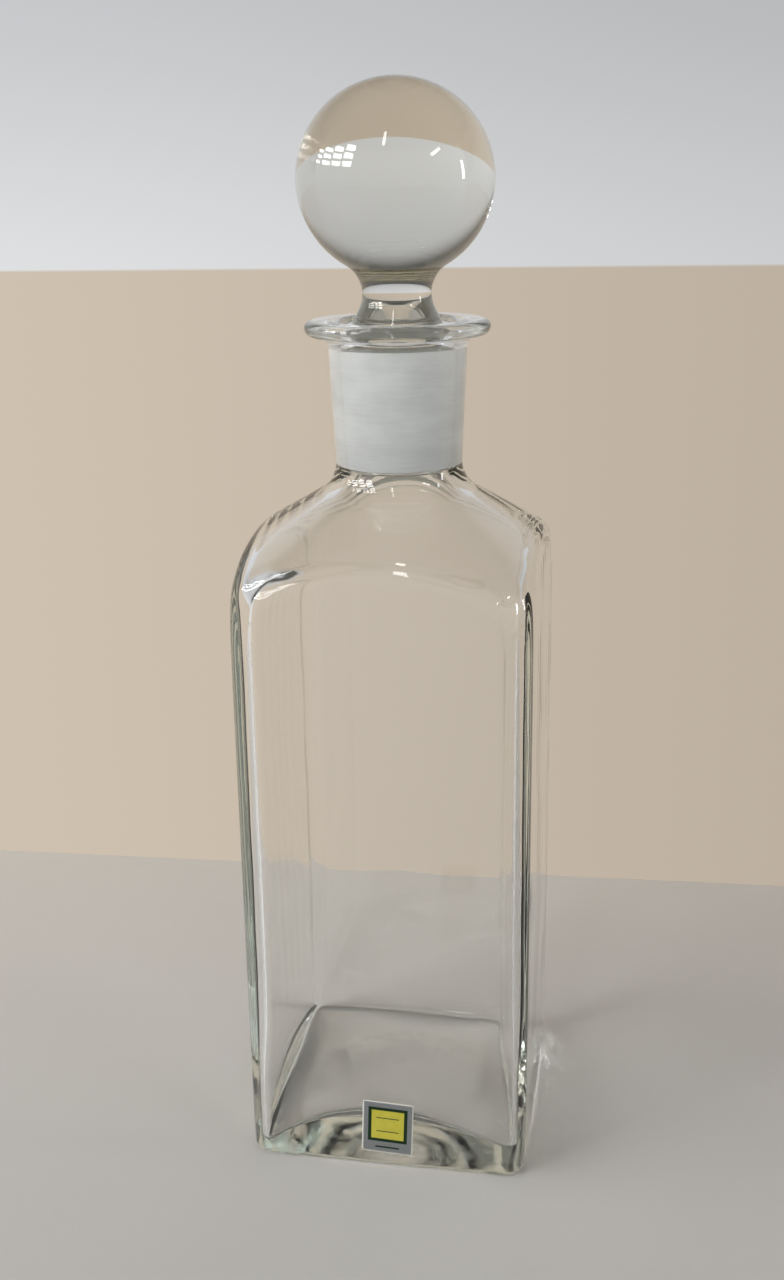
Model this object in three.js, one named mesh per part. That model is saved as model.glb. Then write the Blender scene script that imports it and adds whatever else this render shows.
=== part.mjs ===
// A square glass decanter with a solid ball stopper in a ground neck, in millimetres, +Z up.
// It stands on z = 0, the origin is the middle of its base, and the side with the label faces -Y.

import * as THREE from "three";

// Body sizes
const bodyWidth = 83.6; // across the flat sides
const bodyCornerRadius = 7;
const heelRadius = 2.2; // rounding between the sides and the base
const pushUpRadius = 30; // shallow hollow under the base
const pushUpDepth = 1.5;

// Shoulder sizes: a dome of revolution that trims the square body, so each side ends in an arch
const neckFootHeight = 201.4; // where the shoulder's cone would meet the neck
const shoulderSlope = 29.6; // of the cone, in degrees below level
const kneeRadius = 28.5; // the dome's rounding from the cone towards the sides
const kneeOverhang = 5; // how far the dome would stand out past the body's corners
const skirtSlope = 62.6; // where the dome's rounding stops, in degrees below level
const skirtReach = 16; // how far past the body's corners the dome's straight skirt runs
const archSharpness = 28; // higher makes a crisper edge between side and shoulder
const neckFilletRadius = 9.6;

// Neck and lip sizes
const neckLength = 42.8; // from the neck's foot to the middle of the lip
const neckFootRadius = 18;
const neckTopRadius = 19.6;
const lipRadius = 25.9;
const lipThickness = 4.2;
const lipFilletRadius = 3.8;
const mouthRounding = 2.5;

// Glass thickness and cavity sizes
const wall = 4;
const cavityCornerRadius = 2.5; // at the cavity's top and bottom
const cavityCornerMiddleRadius = 6; // where the corners hold the most glass
const cavityCornerMiddleHeight = 70;
const floorThickness = 4.5; // at the cavity's rim
const floorRise = 1.5; // of the cavity's floor towards the middle
const sideCoveRadius = 12; // inner rounding from the floor up the middle of a side
const cornerCoveRadius = 3; // the same, in a corner
const throatRounding = 10; // inner rounding from the bore out to the shoulder

// Ground joint sizes
const boreRadius = 16.4; // at the plug's top edge
const jointTaper = 0.05; // radius lost for each millimetre down
const jointClearance = 0.08;
const plugTopBelowLip = 5.8;
const plugLength = 36;
const plugTopRounding = 2;
const plugEndRounding = 1.5;

// Stopper sizes
const stemWaistRadius = 9.6;
const stemConeAngle = 27; // half angle, in degrees
const stemFilletRadius = 9.1; // from the waist out to the ball and out to the cone
const ballRadius = 27;
const ballFlattening = 0.97; // height of the ball against its width

// Label sizes
const labelWidth = 15.3;
const labelHeight = 17.6;
const labelThickness = 0.1;
const labelCentreX = 1.1;
const labelCentreHeight = 13.7;
const labelTilt = 2.2; // degrees clockwise, seen from the front

// Fineness of the faceted skins
const flatColumns = 4; // facets from the middle of a side to its corner rounding
const cornerColumns = 3; // facets from there to the corner's middle
const floorRings = 3;

const halfWidth = bodyWidth / 2;
const radians = THREE.MathUtils.degToRad;
const sine = (degrees) => Math.sin(radians(degrees));
const cosine = (degrees) => Math.cos(radians(degrees));
const tangent = (degrees) => Math.tan(radians(degrees));

// Distance from the axis to a rounded square, at an angle in radians from the middle of a side.
function squareReach(half, cornerRadius, angle) {
  const along = Math.abs(Math.cos(angle));
  const across = Math.abs(Math.sin(angle));
  const far = Math.max(along, across);
  const near = Math.min(along, across);
  const cornerCentre = half - cornerRadius;
  if (near * half <= far * cornerCentre) return half / far;
  const middle = cornerCentre * (along + across);
  return middle + Math.sqrt(middle ** 2 - 2 * cornerCentre ** 2 + cornerRadius ** 2);
}

// The smaller of two lengths, with the change from one to the other rounded off.
function softMinimum(first, second) {
  return (first ** -archSharpness + second ** -archSharpness) ** (-1 / archSharpness);
}

// Points [radius, height] along an arc, from one angle to another in degrees, both ends included.
function arcPoints(centreRadius, centreHeight, arcRadius, from, to, steps) {
  return Array.from({ length: steps + 1 }, (_, i) => {
    const angle = from + ((to - from) * i) / steps;
    return [centreRadius + arcRadius * cosine(angle), centreHeight + arcRadius * sine(angle)];
  });
}

// Points along a straight line, without its first end.
function linePoints([startRadius, startHeight], [endRadius, endHeight], steps) {
  return Array.from({ length: steps }, (_, i) => {
    const share = (i + 1) / steps;
    return [
      startRadius + (endRadius - startRadius) * share,
      startHeight + (endHeight - startHeight) * share,
    ];
  });
}

// Angles of the columns: a few on the flats, more round each corner.
function columnAngles() {
  const cornerStart = Math.atan((halfWidth - bodyCornerRadius) / halfWidth);
  const quarter = [];
  for (let i = 0; i < flatColumns; i++) quarter.push((cornerStart * i) / flatColumns);
  const cornerSpan = Math.PI / 2 - 2 * cornerStart;
  for (let i = 0; i < 2 * cornerColumns; i++) {
    quarter.push(cornerStart + (cornerSpan * i) / (2 * cornerColumns));
  }
  for (let i = 0; i < flatColumns; i++) {
    quarter.push(Math.PI / 2 - cornerStart + (cornerStart * i) / flatColumns);
  }
  return [0, 1, 2, 3].flatMap((side) => quarter.map((angle) => angle + (side * Math.PI) / 2));
}

const columns = columnAngles();

// One ring of points round the axis, from a function that gives [reach, height] at an angle.
function ring(pointAt) {
  return columns.map((angle) => {
    const [reach, height] = pointAt(angle);
    return [reach * Math.cos(angle), reach * Math.sin(angle), height];
  });
}

const roundRings = (points) => points.map((point) => ring(() => point));

// Joins rings into one closed skin with a pole at each end. Rings run outward and up on an outside.
function closedSkin(firstHeight, rings, lastHeight) {
  const count = columns.length;
  const points = [[0, 0, firstHeight], ...rings.flat(), [0, 0, lastHeight]];
  const last = points.length - 1;
  const faces = [];
  for (let j = 0; j < count; j++) {
    const next = (j + 1) % count;
    faces.push([0, 1 + next, 1 + j]);
    for (let i = 0; i < rings.length - 1; i++) {
      const low = 1 + i * count;
      const high = low + count;
      faces.push([low + j, low + next, high + next], [low + j, high + next, high + j]);
    }
    const top = 1 + (rings.length - 1) * count;
    faces.push([top + j, top + next, last]);
  }
  const geometry = new THREE.BufferGeometry();
  geometry.setAttribute("position", new THREE.Float32BufferAttribute(points.flat(), 3));
  geometry.setIndex(faces.flat());
  geometry.computeVertexNormals();
  return geometry;
}

// Worked-out places on the shoulder, the neck and the joint
const cornerReach = squareReach(halfWidth, bodyCornerRadius, Math.PI / 4);
const kneeCentreRadius = cornerReach + kneeOverhang - kneeRadius;
const kneeTopRadius = kneeCentreRadius + kneeRadius * sine(shoulderSlope);
const kneeTopHeight =
  neckFootHeight - (kneeTopRadius - neckFootRadius) * tangent(shoulderSlope);
const kneeCentreHeight = kneeTopHeight - kneeRadius * cosine(shoulderSlope);
const lipHeight = neckFootHeight + neckLength;
const lipTop = lipHeight + lipThickness / 2;
const plugTopHeight = lipTop - plugTopBelowLip;
const plugEndHeight = plugTopHeight - plugLength;

const boreAt = (height) => boreRadius + (height - plugTopHeight) * jointTaper;

// The shoulder's dome as points [radius, height] from its skirt up to the top of its cone.
// The inset moves it into the glass, and the crease radius is where the sides' middles meet it.
function domePoints(inset, creaseRadius) {
  const arcRadius = kneeRadius - inset;
  const knee = arcPoints(
    kneeCentreRadius,
    kneeCentreHeight,
    arcRadius,
    90 - skirtSlope,
    90 - shoulderSlope,
    6,
  );
  const skirtRun = cornerReach + skirtReach - inset - knee[0][0];
  const skirtFoot = [knee[0][0] + skirtRun, knee[0][1] - skirtRun * tangent(skirtSlope)];
  const [startRadius, startHeight] = knee.at(-1);
  const coneRun = (startRadius - creaseRadius) * 2;
  const pastCrease = [startRadius - coneRun, startHeight + coneRun * tangent(shoulderSlope)];
  return [
    skirtFoot,
    ...linePoints(skirtFoot, knee[0], 3),
    ...knee.slice(1),
    ...linePoints(knee.at(-1), pastCrease, 4),
  ];
}

// Rings of the shoulder: the dome trimmed by a rounded square.
function shoulderRings(inset, cornerRadius) {
  const half = halfWidth - inset;
  return domePoints(inset, half).map(([radius, height]) =>
    ring((angle) => [softMinimum(squareReach(half, cornerRadius, angle), radius), height]),
  );
}

// The rounding where the shoulder's cone meets the neck outside, or the bore inside.
function coneToNeck(cornerRadius, cornerHeight, filletRadius) {
  const reach = filletRadius * tangent((90 - shoulderSlope) / 2);
  return arcPoints(
    cornerRadius + filletRadius,
    cornerHeight + reach,
    filletRadius,
    270 - shoulderSlope,
    180,
    4,
  );
}

// Base, heel and straight sides, from the middle of the base outward.
function bodyRings() {
  const hollow = Array.from({ length: floorRings }, (_, i) => {
    const share = (i + 1) / floorRings;
    return [pushUpRadius * share, pushUpDepth * (1 - share ** 2)];
  });
  const heelSteps = 3;
  const heel = Array.from({ length: heelSteps + 1 }, (_, i) => {
    const angle = (90 * i) / heelSteps;
    const inset = heelRadius * (1 - sine(angle));
    const cornerRadius = Math.max(bodyCornerRadius - inset, 0);
    const height = heelRadius * (1 - cosine(angle));
    return ring((side) => [squareReach(halfWidth - inset, cornerRadius, side), height]);
  });
  return [...roundRings(hollow), ...heel];
}

// Neck, flared lip and its rounded mouth, from the neck's foot up and over into the bore.
function neckRings() {
  const edgeRadius = lipThickness / 2;
  const neckSlope = (neckTopRadius - neckFootRadius) / neckLength;
  const filletStart = lipHeight - edgeRadius - lipFilletRadius;
  const neckUnderLip = neckFootRadius + neckSlope * (filletStart - neckFootHeight);
  const outer = [
    ...coneToNeck(neckFootRadius, neckFootHeight, neckFilletRadius),
    ...arcPoints(neckUnderLip + lipFilletRadius, filletStart, lipFilletRadius, 180, 90, 3),
    ...arcPoints(lipRadius - edgeRadius, lipHeight, edgeRadius, -90, 90, 6),
  ];
  const mouthHeight = lipTop - mouthRounding;
  const mouth = arcPoints(
    boreAt(mouthHeight) + mouthRounding,
    mouthHeight,
    mouthRounding,
    90,
    180,
    3,
  );
  return roundRings([...outer, ...mouth]);
}

// The inner shoulder, from the bore's lower end down to the cavity's straight sides.
function innerShoulderRings() {
  const [coneRadius, coneHeight] = domePoints(wall, halfWidth - wall).at(-1);
  const slope = tangent(shoulderSlope);
  const coneAxisHeight = coneHeight + coneRadius * slope;
  const throatReach = throatRounding * tangent((90 - shoulderSlope) / 2);
  const boreAtAxisHeight = boreAt(coneAxisHeight + throatReach);
  const throatRadius = boreAtAxisHeight / (1 + slope * jointTaper);
  const throat = coneToNeck(throatRadius, coneAxisHeight - throatRadius * slope, throatRounding);
  return [...roundRings(throat.reverse()), ...shoulderRings(wall, cavityCornerRadius).reverse()];
}

// The ring between the cavity's top and bottom, where its corners are roundest.
function cavityMiddleRing() {
  return ring((angle) => [
    squareReach(halfWidth - wall, cavityCornerMiddleRadius, angle),
    cavityCornerMiddleHeight,
  ]);
}

// The cavity's lower corners and its domed floor, down to the middle.
function cavityFloorRings() {
  const half = halfWidth - wall;
  const coveAt = (angle) =>
    cornerCoveRadius + (sideCoveRadius - cornerCoveRadius) * Math.cos(2 * angle) ** 2;
  const coveSteps = 5;
  const cove = Array.from({ length: coveSteps + 1 }, (_, i) => {
    const turn = (90 * i) / coveSteps;
    return ring((angle) => {
      const inset = coveAt(angle) * (1 - cosine(turn));
      const cornerRadius = Math.max(cavityCornerRadius - inset, 0);
      const height = floorThickness + coveAt(angle) * (1 - sine(turn));
      return [squareReach(half - inset, cornerRadius, angle), height];
    });
  });
  const rim = (angle) =>
    squareReach(half - coveAt(angle), Math.max(cavityCornerRadius - coveAt(angle), 0), angle);
  const floor = Array.from({ length: floorRings - 1 }, (_, i) => {
    const share = 1 - (i + 1) / floorRings;
    return ring((angle) => [rim(angle) * share, floorThickness + floorRise * (1 - share ** 2)]);
  });
  return [...cove, ...floor];
}

// Bottle: body, shoulder, neck and lip in one piece of glass, open at the bore.
function bottleGeometry() {
  return closedSkin(
    pushUpDepth,
    [
      ...bodyRings(),
      ...shoulderRings(0, bodyCornerRadius),
      ...neckRings(),
      ...innerShoulderRings(),
      cavityMiddleRing(),
      ...cavityFloorRings(),
    ],
    floorThickness + floorRise,
  );
}

// Stopper: tapered plug, cone, waist and solid ball in one piece of glass.
function stopperGeometry() {
  const plugAt = (height) => boreAt(height) - jointClearance;
  const plugEnd = arcPoints(
    plugAt(plugEndHeight) - plugEndRounding,
    plugEndHeight + plugEndRounding,
    plugEndRounding,
    -90,
    0,
    2,
  );
  const plugTop = arcPoints(
    plugAt(plugTopHeight - plugTopRounding) - plugTopRounding,
    plugTopHeight - plugTopRounding,
    plugTopRounding,
    0,
    90 - stemConeAngle,
    3,
  );
  const waistCentreRadius = stemWaistRadius + stemFilletRadius;
  const coneFootRadius = plugTop.at(-1)[0];
  const coneTopRadius = waistCentreRadius - stemFilletRadius * cosine(stemConeAngle);
  const coneHeight = (coneFootRadius - coneTopRadius) / tangent(stemConeAngle);
  const waistHeight =
    plugTop.at(-1)[1] + coneHeight + stemFilletRadius * sine(stemConeAngle);
  const lowerWaist = arcPoints(
    waistCentreRadius,
    waistHeight,
    stemFilletRadius,
    180 + stemConeAngle,
    180,
    3,
  );
  const roundBallHeight = Math.sqrt(
    (ballRadius + stemFilletRadius) ** 2 - waistCentreRadius ** 2,
  );
  const meeting = THREE.MathUtils.radToDeg(Math.atan2(roundBallHeight, waistCentreRadius));
  const roundTop = [
    ...arcPoints(waistCentreRadius, 0, stemFilletRadius, 180, 180 - meeting, 3).slice(1),
    ...arcPoints(0, roundBallHeight, ballRadius, -meeting, 90, 16).slice(1, -1),
  ];
  const flattened = roundTop.map(([radius, height]) => [
    radius,
    waistHeight + height * ballFlattening,
  ]);
  const ballTop = waistHeight + (roundBallHeight + ballRadius) * ballFlattening;
  return closedSkin(
    plugEndHeight,
    roundRings([...plugEnd, ...plugTop, ...lowerWaist, ...flattened]),
    ballTop,
  );
}

// Label: a small foil sticker low on the front.
function labelGeometry() {
  return new THREE.BoxGeometry(labelWidth, labelThickness, labelHeight);
}

const clearGlass = (name) =>
  new THREE.MeshStandardMaterial({
    name,
    color: 0xdde5df,
    roughness: 0.05,
    metalness: 0,
    transparent: true,
    opacity: 0.35,
  });

const labelFoil = () =>
  new THREE.MeshStandardMaterial({
    name: "label_foil",
    color: 0x9a9f9d,
    roughness: 0.35,
    metalness: 0.8,
  });

function namedMesh(name, geometry, material) {
  const mesh = new THREE.Mesh(geometry, material);
  mesh.name = name;
  return mesh;
}

const bottle = namedMesh("bottle", bottleGeometry(), clearGlass("bottle_glass"));
const stopper = namedMesh("stopper", stopperGeometry(), clearGlass("stopper_glass"));
const label = namedMesh("label", labelGeometry(), labelFoil());
label.position.set(labelCentreX, -halfWidth - labelThickness / 2, labelCentreHeight);
label.rotation.y = radians(labelTilt);

const decanter = new THREE.Group();
decanter.add(bottle, stopper, label);

export default decanter;
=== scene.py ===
"""A square glass decanter with a solid ball stopper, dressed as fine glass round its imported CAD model."""

import math

import bpy
import numpy as np
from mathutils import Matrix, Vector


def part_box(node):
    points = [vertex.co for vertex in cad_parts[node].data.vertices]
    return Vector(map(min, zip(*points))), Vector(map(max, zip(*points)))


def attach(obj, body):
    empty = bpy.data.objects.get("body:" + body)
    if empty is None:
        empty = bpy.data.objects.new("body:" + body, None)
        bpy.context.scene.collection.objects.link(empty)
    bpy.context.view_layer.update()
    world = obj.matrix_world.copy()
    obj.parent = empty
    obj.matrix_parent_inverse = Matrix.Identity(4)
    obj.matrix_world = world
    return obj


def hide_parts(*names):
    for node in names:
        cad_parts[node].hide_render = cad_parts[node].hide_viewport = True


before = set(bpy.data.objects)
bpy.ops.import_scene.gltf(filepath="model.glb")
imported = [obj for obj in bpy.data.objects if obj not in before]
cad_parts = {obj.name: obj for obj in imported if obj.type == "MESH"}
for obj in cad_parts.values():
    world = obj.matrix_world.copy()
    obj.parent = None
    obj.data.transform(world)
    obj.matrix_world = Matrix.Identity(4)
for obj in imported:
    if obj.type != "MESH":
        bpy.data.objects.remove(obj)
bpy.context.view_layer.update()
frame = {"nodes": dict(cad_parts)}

bl_info = {
    "name": "Square Decanter",
    "version": (1, 0, 0),
    "blender": (4, 5, 0),
    "location": "3D View, Sidebar, Decanter",
    "description": "Builds a square glass decanter with a ball stopper, its label and a plain studio",
    "category": "Add Mesh",
}

# Places and fixed values: lengths in metres and angles in degrees, unless a comment says otherwise

BOTTLE_LOW, BOTTLE_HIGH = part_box("bottle")
LABEL_LOW, LABEL_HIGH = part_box("label")
MILLIMETRE = 0.001
FLOOR_GAP = 0.1 * MILLIMETRE  # of air under the base, so that the glass keeps its own lower face
GLASS_INDEX = 1.52
CORNER_SWELLS = (0.020, 0.055)  # heights between which the cavity's corners grow round
SHOULDER_SWELLS = (0.160, 0.180)  # heights between which they grow rounder still
WAVE_SPREADS = (0.0061, 0.021, 0.017, 0.026)  # height for each radian of the waves and of the flutes' bends
FLUTE_COUNTS = (7, 31)  # broad and narrow flutes round the axis
FLUTE_SHARES = (0.6, 0.18)  # their depth against the broad waves
WAVE_SCALE = 0.28  # brings the sum of waves and flutes to within half of the amount
RIPPLES_END = (0.006, 0.016)  # heights between which the base's ripples fade out
SCUFFS_END = (0.0016, 0.0024)  # heights between which the wear of the underside fades out
WANDER_DEPTH, GRAIN_DEPTH, RIPPLE_DEPTH = 0.045, 0.004, 0.02  # of the relief in clear glass, in millimetres
HAZE_ROUGHNESS = (0.004, 0.012)  # least roughness of clear glass, and what its haze adds
SCUFF_ROUGHNESS = (0.03, 0.14)  # the same for the wear of the underside
RING_DEPTH, PATCH_DEPTH = 0.008, 0.02  # of the relief in ground glass, in millimetres
RING_SHARE = 0.35  # of the rings in the marks of ground glass; its patches have the rest
GROUND_SPREAD = 0.1  # how far the roughness of ground glass goes up and down
DIMMER_GROUND = 0.82  # colour of ground glass where it is dimmest, against its own
GROUND_EDGE = 1.5 * MILLIMETRE  # from the plug's edges to the ground faces
LABEL_RIM = 0.35  # width of the sticker's cut edge, in millimetres
LABEL_CUT = (0.78, 0.76, 0.70)  # colour of that edge
LABEL_FRAME = (0.9, 5.9, 5.9)  # middle's height, half width and half height, in millimetres
LABEL_PANEL = (0.9, 4.9, 4.9)
LABEL_BARS = ((-6.9, 3.6, 0.28), (3.2, 3.4, 0.16), (-1.4, 3.4, 0.16))
BACKDROP_BLUR = 0.6 * MILLIMETRE  # half the width of the soft edge between the backdrop's colours
DIM_MARGIN = 0.03  # how far the backdrop's painted dimming starts below the split and ends above the start of its painted shade
PAINTED_LIGHT_ENDS = (-0.24, 0.20)  # sideways places between which the backdrop's painted light falls off, from brighter on the left to darker on the right
FLOOR_REACH, BACKDROP_HEIGHT = 1.6, 1.2  # the first is also half the backdrop's width
OVERHEAD = (0.26, 0.72)  # sines of the elevations between which the room gets dimmer
AIM_HEIGHT = 0.25  # of the point that the lamps face
LAMP_DISTANCE = 1.6  # from that point
PANE_ROWS, PANE_COLUMNS = 3, 4
PANE_WIDTH = 0.31
WINDOW_START, PANE_TURN = -47, -15  # azimuth of the first column of panes, and from each to the next
WINDOW_SILL = 12.5  # elevation of the window's lower edge
PANE_PITCH, PITCH_LOSS = 8.0, 1.3  # height of a row in the first column, and what each next one loses
BAR_WIDTH = 2.4  # between panes, up the height
STRIP_LAMPS = (  # azimuth, elevation, width, height and twist
    ("strip_front", -5, 46, 0.08, 0.45, 0),
    ("strip_right", 60, 28, 0.40, 0.10, -25),
    ("slim_right", 92, 8, 0.12, 0.45, 0),
)


# Property makers


def length(name, description, millimetres):
    """A length whose default is given in millimetres."""
    return bpy.props.FloatProperty(
        name=name, description=description, default=millimetres * MILLIMETRE, unit="LENGTH", precision=5
    )


def angle(name, description, degrees):
    """An angle whose default is given in degrees."""
    return bpy.props.FloatProperty(
        name=name, description=description, default=math.radians(degrees), subtype="ANGLE"
    )


def share(name, description, value):
    """A number from 0 to 1."""
    return bpy.props.FloatProperty(
        name=name, description=description, default=value, min=0, max=1, subtype="FACTOR"
    )


def colour(name, description, value):
    """A linear colour."""
    return bpy.props.FloatVectorProperty(
        name=name, description=description, default=value, size=3, min=0, max=1, subtype="COLOR"
    )


def power(name, description, value):
    """A lamp's brightness, as the radiance that its face shows."""
    return bpy.props.FloatProperty(name=name, description=description, default=value, min=0, subtype="NONE")


# Sizes and colours that a user would change


class BodySizes(bpy.types.PropertyGroup):
    """The square body, its base and the unevenness of its glass."""

    width: length("Width", "Across the flat sides", (BOTTLE_HIGH.x - BOTTLE_LOW.x) / MILLIMETRE)
    corner: length("Corner radius", "Outer rounding of the upright corners", 7)
    heel: length("Heel radius", "Rounding between the sides and the base", 2.2)
    hollow_radius: length("Hollow radius", "Of the shallow hollow under the base", 30)
    hollow_depth: length("Hollow depth", "Of the shallow hollow under the base", 1.5)
    wall: length("Wall", "Thickness of the sides and the shoulder", 4)
    inner_corner: length("Inner corner", "Corner radius of the cavity near the floor", 2.5)
    thick_corner: length("Thick inner corner", "Corner radius of the cavity up the sides", 5)
    shoulder_corner: length("Inner shoulder corner", "Corner radius of the cavity in the shoulder", 6)
    shoulder_wall: length("Shoulder wall", "Thickness of the glass where the shoulder meets the sides", 5)
    middle_floor: length("Floor in the middle", "Glass below the middle of the cavity", 5.8)
    front_floor: length("Floor at the front", "Glass below the cavity, mid-side at the front wall", 16.5)
    back_floor: length("Floor at the back", "Glass below the cavity, mid-side at the back wall", 5)
    side_floor: length("Floor at the sides", "The same at the left and right walls", 12)
    corner_floor: length("Floor at the corners", "Glass below the cavity's corners", 3.8)
    thinnest_floor: length("Thinnest floor", "Least glass below the cavity", 2.6)
    floor_lean: length("Floor lean", "Added to the right front corner and taken off the left one", 3.4)
    side_cove: length("Side cove", "Rounding from the floor up the middle of a side", 3.4)
    corner_cove: length("Corner cove", "Rounding from the floor up a corner", 2.5)
    unevenness: length("Unevenness", "How far the inside of the glass wanders", 0.22)


class ShoulderSizes(bpy.types.PropertyGroup):
    """The dome that trims the square body, so that each side ends in an arch."""

    neck_foot: length("Neck foot", "Height where the shoulder's cone would meet the neck", 201.4)
    slope: angle("Slope", "Of the shoulder's cone below level", 29.6)
    knee: length("Knee radius", "Rounding from the cone towards the sides", 28.5)
    knee_overhang: length("Knee overhang", "How far the dome would stand out past the corners", 5)
    skirt_slope: angle("Skirt slope", "Slope below level where the dome's rounding stops", 62.6)
    skirt_reach: length("Skirt reach", "How far past the corners the straight skirt runs", 16)
    sharpness: bpy.props.FloatProperty(
        name="Arch sharpness", description="Higher makes a crisper edge", default=24, min=2
    )
    neck_fillet: length("Neck fillet", "Outer rounding from the shoulder to the neck", 9.6)
    throat_fillet: length("Throat fillet", "Inner rounding from the shoulder to the bore", 10)


class NeckSizes(bpy.types.PropertyGroup):
    """The neck, its flared lip and the ground joint."""

    length: length("Length", "From the neck's foot to the middle of the lip", 42.8)
    foot_radius: length("Foot radius", "Outer radius at the foot", 18)
    top_radius: length("Top radius", "Outer radius at the lip", 19.6)
    lip_radius: length("Lip radius", "Outer radius of the lip", 25.9)
    lip_thickness: length("Lip thickness", "Height of the lip's rounded edge", 4.2)
    lip_fillet: length("Lip fillet", "Rounding under the lip", 3.8)
    mouth: length("Mouth rounding", "From the lip's top into the bore", 2.5)
    bore: length("Bore radius", "At the height of the plug's top edge", 16.4)
    taper: bpy.props.FloatProperty(
        name="Joint taper", description="Radius lost for each unit of height", default=0.05
    )
    clearance: length("Joint clearance", "Between the bore and the plug", 0.08)
    plug_below_lip: length("Plug below lip", "From the lip's top down to the plug's top edge", 5.8)
    plug_length: length("Plug length", "Of the ground plug", 36)


class StopperSizes(bpy.types.PropertyGroup):
    """The stopper above its ground plug."""

    top_rounding: length("Plug top rounding", "Rounding of the plug's upper edge", 2)
    end_rounding: length("Plug end rounding", "Rounding of the plug's lower edge", 1.5)
    waist: length("Waist radius", "Of the stem below the ball", 9.6)
    cone: angle("Cone angle", "Half angle of the cone between plug and waist", 27)
    fillet: length("Waist fillet", "Rounding out to the ball and to the cone", 9.1)
    ball: length("Ball radius", "Of the solid ball", 27)
    flattening: share("Ball flattening", "Height of the ball against its width", 0.97)


class LabelSizes(bpy.types.PropertyGroup):
    """The small foil sticker low on the front."""

    width: length("Width", "Of the sticker", 15.3)
    height: length("Height", "Of the sticker", 17.6)
    centre_x: length("Middle, sideways", "From the bottle's axis", 1.1)
    centre_z: length("Middle, height", "Above the base", 13.7)
    tilt: angle("Tilt", "Clockwise, seen from the front", 2.2)
    corner: share("Corner rounding", "Against half the sticker's width", 0.05)


class FinishLook(bpy.types.PropertyGroup):
    """Colours and finishes of the object."""

    bottle_depth: colour("Bottle tint", "Colour that its thick glass tends to", (0.30, 0.48, 0.30))
    stopper_depth: colour("Stopper tint", "Colour that its thick glass tends to", (0.49, 0.45, 0.26))
    bottle_density: bpy.props.FloatProperty(
        name="Bottle density", description="Absorption for each metre of glass", default=4, min=0
    )
    stopper_density: bpy.props.FloatProperty(
        name="Stopper density", description="Absorption for each metre of glass", default=6.5, min=0
    )
    ground: colour("Ground glass", "Colour of the ground joint", (0.96, 0.97, 0.97))
    ground_roughness: share("Ground roughness", "Roughness of the ground joint", 0.55)
    ground_clearness: share("Ground clearness", "Share of light that passes the ground joint", 0.15)
    foil: colour("Foil", "Bare foil of the label", (0.30, 0.32, 0.33))
    panel: colour("Panel", "Printed panel of the label", (0.62, 0.56, 0.06))
    frame: colour("Frame", "Printed rule round the panel", (0.015, 0.045, 0.02))


class StageLook(bpy.types.PropertyGroup):
    """The floor, the backdrop, the light and the camera."""

    floor: colour("Floor", "Colour of the floor", (0.66, 0.65, 0.63))
    backdrop_low: colour("Lower backdrop", "Colour of the backdrop's lower part", (0.56, 0.48, 0.39))
    backdrop_high: colour("Upper backdrop", "Colour of the backdrop just above that", (0.69, 0.695, 0.705))
    # painted light: the colour that the upper backdrop dims to as it rises, before its painted shade
    backdrop_painted_dim: colour("Dimmer backdrop", "Its colour where it starts to fade", (0.51, 0.515, 0.53))
    # painted shade: the near-black colour that the backdrop darkens to above the picture
    backdrop_painted_shade: colour("Backdrop's top", "Colour that it fades to above the picture", (0.05, 0.05, 0.045))
    # painted light: the backdrop is brighter on the left and darker on the right
    painted_side_light: share("Side light", "How much brighter the backdrop is on the left than in the middle", 0.11)
    # heights between which the backdrop's painted shade starts and ends
    fade_start: length("Fade starts", "Height where the backdrop starts to fade", 345)
    fade_end: length("Fade ends", "Height where the backdrop has faded", 440)
    backdrop_split: length("Backdrop split", "Height where the backdrop's colour changes", 251.5)
    backdrop_distance: length("Backdrop distance", "Behind the bottle's axis", 155.5)
    backdrop_turn: angle("Backdrop turn", "Of the backdrop about the bottle's axis", 2.6)
    room: colour("Room", "Colour of the room at eye level", (0.76, 0.76, 0.75))
    ceiling: colour("Ceiling", "Colour of the room overhead", (0.10, 0.10, 0.10))
    window: power("Window", "Brightness of the paned soft box", 14)
    strips: power("Strips", "Brightness of the narrow lamps", 11)
    camera_x: length("Camera, sideways", "Place of the camera", 70.691)
    camera_y: length("Camera, depth", "Place of the camera", -401.963)
    camera_z: length("Camera, height", "Place of the camera", 281.982)
    camera_tip: angle("Camera tip", "Turn about X", 72.4712)
    camera_roll: angle("Camera roll", "Turn about Y", 0.8578)
    camera_turn: angle("Camera turn", "Turn about Z", 10.1053)
    lens: bpy.props.FloatProperty(
        name="Lens", description="Focal length on a 36 mm frame", default=40.62, unit="CAMERA"
    )


GROUPS = {
    "decanter_body": BodySizes,
    "decanter_shoulder": ShoulderSizes,
    "decanter_neck": NeckSizes,
    "decanter_stopper": StopperSizes,
    "decanter_label": LabelSizes,
    "decanter_finish": FinishLook,
    "decanter_stage": StageLook,
}


# Shapes


def square_reach(half, corner, angles):
    """Distance from the axis to a rounded square: on a flat, the half width over the larger of
    cosine and sine; round a corner, the far root of the corner circle's equation."""
    along = np.abs(np.cos(angles))
    across = np.abs(np.sin(angles))
    far = np.maximum(along, across)
    centre = half - corner
    middle = centre * (along + across)
    rounded = middle + np.sqrt(np.maximum(middle**2 - 2 * centre**2 + corner**2, 0))
    return np.where(np.minimum(along, across) * half > far * centre, rounded, half / far)


def smooth_step(value, start, end):
    """From 0 at the start to 1 at the end, by three times the square less twice the cube."""
    part = np.clip((value - start) / (end - start), 0, 1)
    return part * part * (3 - 2 * part)


def soft_minimum(first, second, sharpness):
    """The smaller of two lengths: the sum of their negative powers, brought back by the root."""
    return (first**-sharpness + second**-sharpness) ** (-1 / sharpness)


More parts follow.
